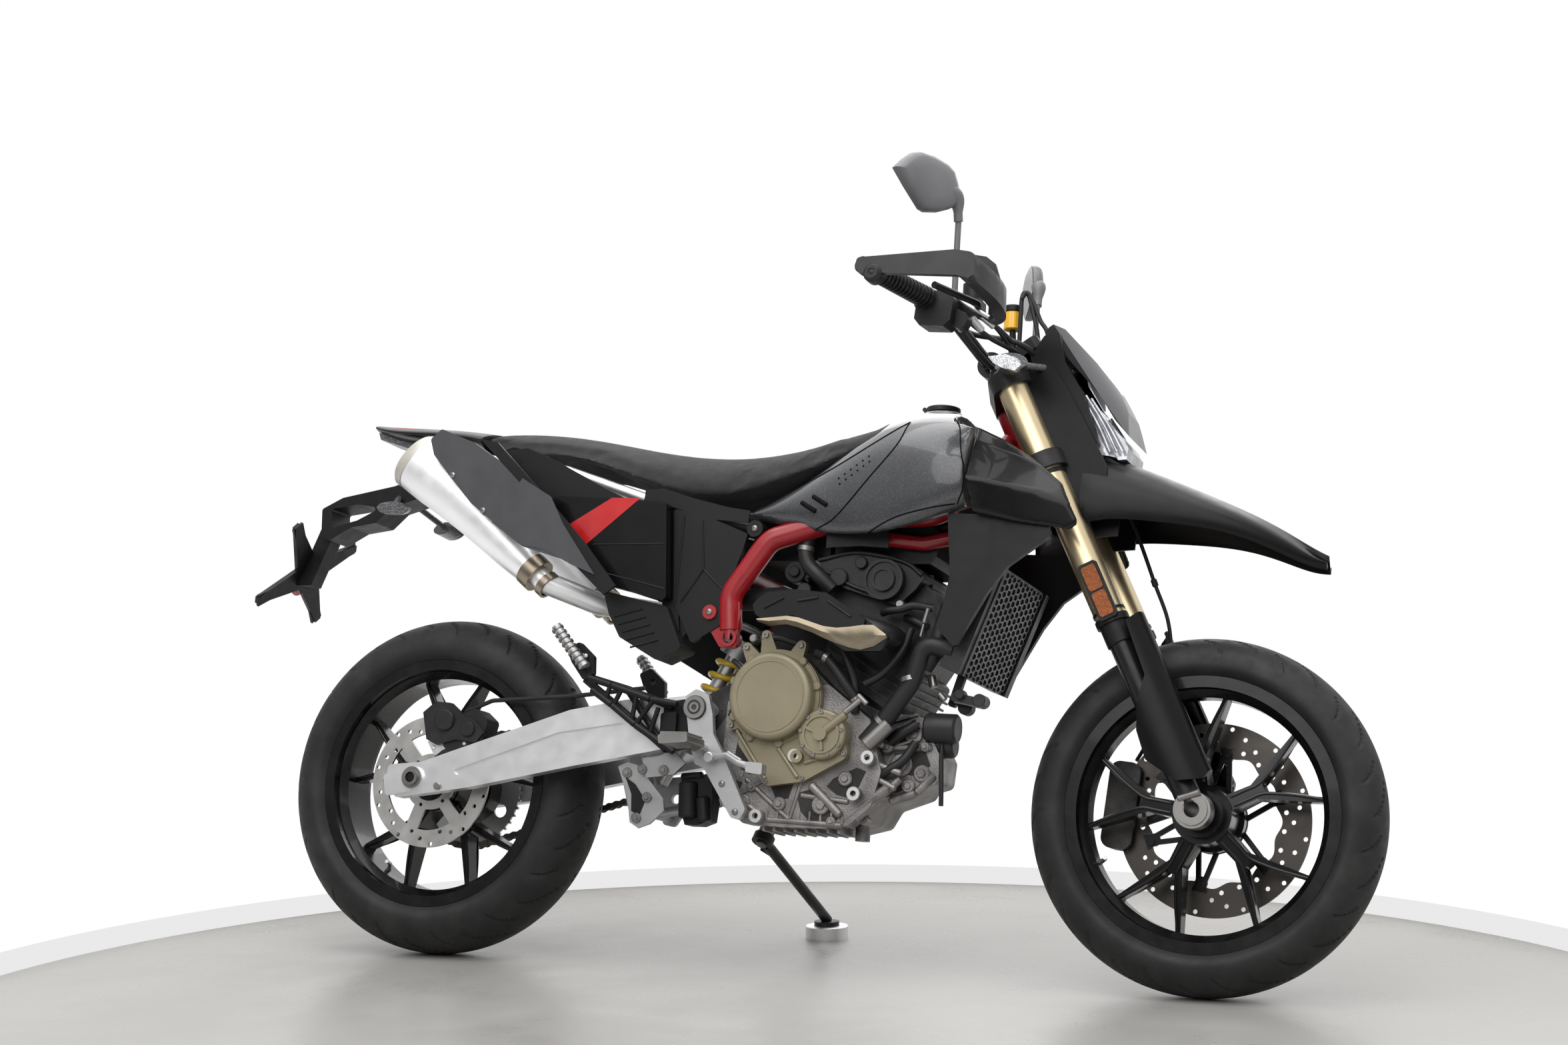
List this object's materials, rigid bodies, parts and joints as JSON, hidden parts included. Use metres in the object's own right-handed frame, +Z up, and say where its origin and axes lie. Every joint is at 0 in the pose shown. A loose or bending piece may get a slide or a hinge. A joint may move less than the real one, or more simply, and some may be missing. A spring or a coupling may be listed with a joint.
{
  "type": "supermoto motorcycle",
  "caption": "Road supermoto motorcycle with high beak mudguard, upside-down fork, cast wheels, high twin silencers and side stand; steers, rolls, folds its stand.",
  "frame": {"origin": "bottom centre of the whole machine's box, on the ground", "axes": "+X forward, +Y to the rider's left, +Z up; the machine leans 12 degrees to its left on its side stand"},
  "size_m": [2.1509, 0.8588, 1.4323],
  "materials": {
    "dark_metal": "satin",
    "disc_steel": "brushed",
    "gloss_black": "gloss",
    "gold": "anodised",
    "grey_cast": "cast",
    "grey_paint": "metallic",
    "lens": "clear",
    "matt_black": "matt",
    "olive_cover": "matt",
    "red_paint": "gloss",
    "rubber": "matt",
    "seat_cloth": "matt",
    "silver_metal": "brushed",
    "steel": "brushed",
    "tyre": "matt",
    "wheel_black": "gloss"
  },
  "bodies": {
    "chassis": {"main_frame": "red_paint", "subframe": "silver_metal", "swingarm": "silver_metal", "shock": "gold", "shock_spring": "gold", "linkage": "silver_metal", "engine_cases": "grey_cast", "cylinder_head": "dark_metal", "engine_covers": "olive_cover", "chain": "steel", "gearbox_sprocket": "steel", "footrest_plates": "silver_metal", "foot_pedals": "silver_metal", "passenger_brackets": "dark_metal", "passenger_footrests": "silver_metal", "rear_caliper": "dark_metal", "fuel_tank": "grey_paint", "front_shrouds": "gloss_black", "radiator_shrouds": "matt_black", "radiator": "dark_metal", "side_panels": "gloss_black", "airbox_covers": "matt_black", "seat": "seat_cloth", "tail_unit": "gloss_black", "exhaust": "steel", "silencer_covers": "matt_black", "heat_shield": "matt_black", "plate_hanger": "matt_black", "rear_lamps": "lens", "coolant_hoses": "rubber", "stand_puck": "silver_metal"},
    "front_wheel": {"front_rim": "wheel_black", "front_tyre": "tyre", "front_disc": "disc_steel"},
    "rear_wheel": {"rear_rim": "wheel_black", "rear_tyre": "tyre", "rear_disc": "disc_steel", "rear_sprocket": "steel"},
    "side_stand": {"side_stand": "dark_metal"},
    "fuel_cap": {"fuel_cap": "dark_metal"},
    "steering": {"triple_clamps": "dark_metal", "handlebar": "dark_metal", "grips": "rubber", "hand_guards": "matt_black", "bar_controls": "dark_metal", "mirrors": "matt_black", "dash": "matt_black", "headlight": "lens", "headlight_cowl": "gloss_black", "beak": "gloss_black", "fork_tubes": "gold", "fork_legs": "silver_metal", "fork_guards": "matt_black", "front_caliper": "dark_metal", "front_indicators": "lens"}
  },
  "joints": [
    {"name": "steering_turn", "type": "hinge", "parent": "chassis", "child": "steering", "pos_m": [0.44954, -0.05105, 0.90265], "axis": [-0.4258, 0.1881, 0.8851], "range_deg": [-35, 35]},
    {"name": "front_wheel_spin", "type": "hinge", "parent": "steering", "child": "front_wheel", "pos_m": [0.77526, -0.18002, 0.29585], "axis": [0, 0.9781, -0.2079], "continuous": true},
    {"name": "rear_wheel_spin", "type": "hinge", "parent": "chassis", "child": "rear_wheel", "pos_m": [-0.66774, -0.17701, 0.31004], "axis": [0, 0.9781, -0.2079], "continuous": true},
    {"name": "side_stand_fold", "type": "hinge", "parent": "chassis", "child": "side_stand", "pos_m": [-0.06774, -0.07827, 0.21662], "axis": [0.1584, 0.6212, 0.7675], "range_deg": [0, 90]},
    {"name": "fuel_cap_lid", "type": "hinge", "parent": "chassis", "child": "fuel_cap", "pos_m": [0.24326, -0.03086, 0.99763], "axis": [0, -0.9781, 0.2079], "range_deg": [0, 95]}
  ]
}
